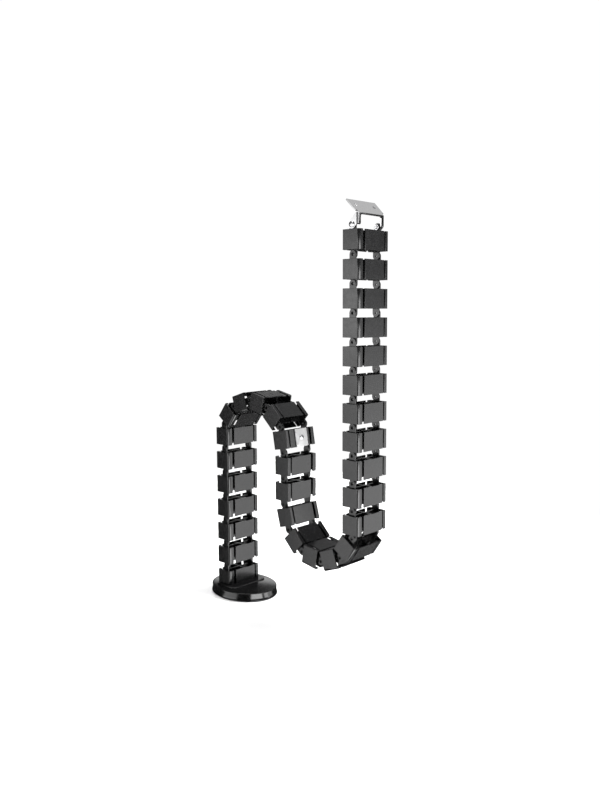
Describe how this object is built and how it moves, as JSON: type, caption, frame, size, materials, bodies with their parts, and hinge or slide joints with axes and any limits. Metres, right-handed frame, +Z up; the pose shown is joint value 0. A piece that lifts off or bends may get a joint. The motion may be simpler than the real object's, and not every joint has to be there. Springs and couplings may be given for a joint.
{
  "type": "cable spine",
  "caption": "Jointed cable spine: hollow hinged links rise from a weighted oval foot, fold over in an arch and end in a folded steel bracket that screws under a desk top.",
  "frame": {"origin": "middle of the oval foot's underside, on the floor", "axes": "+Z up, Y along the hinge pins, +X the way the chain folds over towards the bracket"},
  "size_m": [0.3561, 0.102, 0.6539],
  "materials": {
    "link": "satin",
    "cover": "satin",
    "weight": "matte",
    "pad": "matte",
    "link_plate": "satin",
    "bracket": "satin",
    "screws": "satin"
  },
  "bodies": {
    "base": {"base_cover": "cover", "base_weight": "weight", "base_pad": "pad", "base_link_screws": "screws", "base_weight_screws": "screws", "link_01": "link"},
    "link_02": {"link_02": "link"},
    "link_03": {"link_03": "link"},
    "link_04": {"link_04": "link"},
    "link_05": {"link_05": "link"},
    "link_06": {"link_06": "link"},
    "link_07": {"link_07": "link"},
    "link_08": {"link_08": "link"},
    "link_09": {"link_09": "link"},
    "link_10": {"link_10": "link"},
    "link_11": {"link_11": "link"},
    "link_12": {"link_12": "link", "link_plate": "link_plate", "link_plate_screw": "screws"},
    "link_13": {"link_13": "link"},
    "link_14": {"link_14": "link"},
    "link_15": {"link_15": "link"},
    "link_16": {"link_16": "link"},
    "link_17": {"link_17": "link"},
    "link_18": {"link_18": "link"},
    "link_19": {"link_19": "link"},
    "link_20": {"link_20": "link"},
    "link_21": {"link_21": "link"},
    "link_22": {"link_22": "link"},
    "link_23": {"link_23": "link"},
    "link_24": {"link_24": "link"},
    "link_25": {"link_25": "link"},
    "link_26": {"link_26": "link"},
    "link_27": {"link_27": "link"},
    "link_28": {"link_28": "link"},
    "link_29": {"link_29": "link"},
    "link_30": {"link_30": "link"},
    "bracket": {"bracket": "bracket", "bracket_bolts": "screws", "bracket_nuts": "screws"}
  },
  "joints": [
    {"name": "hinge_01", "type": "hinge", "parent": "base", "child": "link_02", "pos_m": [-0.015, 0, 0.0487], "axis": [0, 1, 0], "range_deg": [-40, 20]},
    {"name": "hinge_02", "type": "hinge", "parent": "link_02", "child": "link_03", "pos_m": [-0.015, 0, 0.0907], "axis": [0, -1, 0], "range_deg": [-20, 40]},
    {"name": "hinge_03", "type": "hinge", "parent": "link_03", "child": "link_04", "pos_m": [-0.015, 0, 0.1327], "axis": [0, 1, 0], "range_deg": [-40, 20]},
    {"name": "hinge_04", "type": "hinge", "parent": "link_04", "child": "link_05", "pos_m": [-0.015, 0, 0.1747], "axis": [0, -1, 0], "range_deg": [-20, 40]},
    {"name": "hinge_05", "type": "hinge", "parent": "link_05", "child": "link_06", "pos_m": [-0.015, 0, 0.2167], "axis": [0, 1, 0], "range_deg": [-40, 20]},
    {"name": "hinge_06", "type": "hinge", "parent": "link_06", "child": "link_07", "pos_m": [-0.015, 0, 0.2587], "axis": [0, -1, 0], "range_deg": [-20, 40]},
    {"name": "hinge_07", "type": "hinge", "parent": "link_07", "child": "link_08", "pos_m": [-0.015, 0, 0.3007], "axis": [0, 1, 0], "range_deg": [-78, 2]},
    {"name": "hinge_08", "type": "hinge", "parent": "link_08", "child": "link_09", "pos_m": [0.01086, 0, 0.3338], "axis": [0, -1, 0], "range_deg": [-6, 74]},
    {"name": "hinge_09", "type": "hinge", "parent": "link_09", "child": "link_10", "pos_m": [0.0508, 0, 0.34678], "axis": [0, 1, 0], "range_deg": [-70, 10]},
    {"name": "hinge_10", "type": "hinge", "parent": "link_10", "child": "link_11", "pos_m": [0.09188, 0, 0.33804], "axis": [0, -1, 0], "range_deg": [-9, 71]},
    {"name": "hinge_11", "type": "hinge", "parent": "link_11", "child": "link_12", "pos_m": [0.1226, 0, 0.3094], "axis": [0, 1, 0], "range_deg": [-77, 3]},
    {"name": "hinge_12", "type": "hinge", "parent": "link_12", "child": "link_13", "pos_m": [0.12989, 0, 0.26804], "axis": [0, -1, 0], "range_deg": [-30, 50]},
    {"name": "hinge_13", "type": "hinge", "parent": "link_13", "child": "link_14", "pos_m": [0.12989, 0, 0.22604], "axis": [0, 1, 0], "range_deg": [-40, 40]},
    {"name": "hinge_14", "type": "hinge", "parent": "link_14", "child": "link_15", "pos_m": [0.12989, 0, 0.18404], "axis": [0, -1, 0], "range_deg": [-55, 25]},
    {"name": "hinge_15", "type": "hinge", "parent": "link_15", "child": "link_16", "pos_m": [0.14076, 0, 0.14347], "axis": [0, 1, 0], "range_deg": [-10, 70]},
    {"name": "hinge_16", "type": "hinge", "parent": "link_16", "child": "link_17", "pos_m": [0.17046, 0, 0.11377], "axis": [0, -1, 0], "range_deg": [-75, 5]},
    {"name": "hinge_17", "type": "hinge", "parent": "link_17", "child": "link_18", "pos_m": [0.21183, 0, 0.10648], "axis": [0, 1, 0], "range_deg": [-10, 70]},
    {"name": "hinge_18", "type": "hinge", "parent": "link_18", "child": "link_19", "pos_m": [0.25129, 0, 0.12084], "axis": [0, -1, 0], "range_deg": [-75, 5]},
    {"name": "hinge_19", "type": "hinge", "parent": "link_19", "child": "link_20", "pos_m": [0.27538, 0, 0.15525], "axis": [0, 1, 0], "range_deg": [-5, 75]},
    {"name": "hinge_20", "type": "hinge", "parent": "link_20", "child": "link_21", "pos_m": [0.27538, 0, 0.19725], "axis": [0, -1, 0], "range_deg": [-40, 40]},
    {"name": "hinge_21", "type": "hinge", "parent": "link_21", "child": "link_22", "pos_m": [0.27538, 0, 0.23925], "axis": [0, 1, 0], "range_deg": [-40, 40]},
    {"name": "hinge_22", "type": "hinge", "parent": "link_22", "child": "link_23", "pos_m": [0.27538, 0, 0.28125], "axis": [0, -1, 0], "range_deg": [-40, 40]},
    {"name": "hinge_23", "type": "hinge", "parent": "link_23", "child": "link_24", "pos_m": [0.27538, 0, 0.32325], "axis": [0, 1, 0], "range_deg": [-40, 40]},
    {"name": "hinge_24", "type": "hinge", "parent": "link_24", "child": "link_25", "pos_m": [0.27538, 0, 0.36525], "axis": [0, -1, 0], "range_deg": [-40, 40]},
    {"name": "hinge_25", "type": "hinge", "parent": "link_25", "child": "link_26", "pos_m": [0.27538, 0, 0.40725], "axis": [0, 1, 0], "range_deg": [-40, 40]},
    {"name": "hinge_26", "type": "hinge", "parent": "link_26", "child": "link_27", "pos_m": [0.27538, 0, 0.44925], "axis": [0, -1, 0], "range_deg": [-40, 40]},
    {"name": "hinge_27", "type": "hinge", "parent": "link_27", "child": "link_28", "pos_m": [0.27538, 0, 0.49125], "axis": [0, 1, 0], "range_deg": [-40, 40]},
    {"name": "hinge_28", "type": "hinge", "parent": "link_28", "child": "link_29", "pos_m": [0.27538, 0, 0.53325], "axis": [0, -1, 0], "range_deg": [-40, 40]},
    {"name": "hinge_29", "type": "hinge", "parent": "link_29", "child": "link_30", "pos_m": [0.27538, 0, 0.57525], "axis": [0, 1, 0], "range_deg": [-40, 40]},
    {"name": "bracket_hinge", "type": "hinge", "parent": "link_30", "child": "bracket", "pos_m": [0.27538, 0, 0.61725], "axis": [0, -1, 0], "range_deg": [-35, 90]}
  ]
}
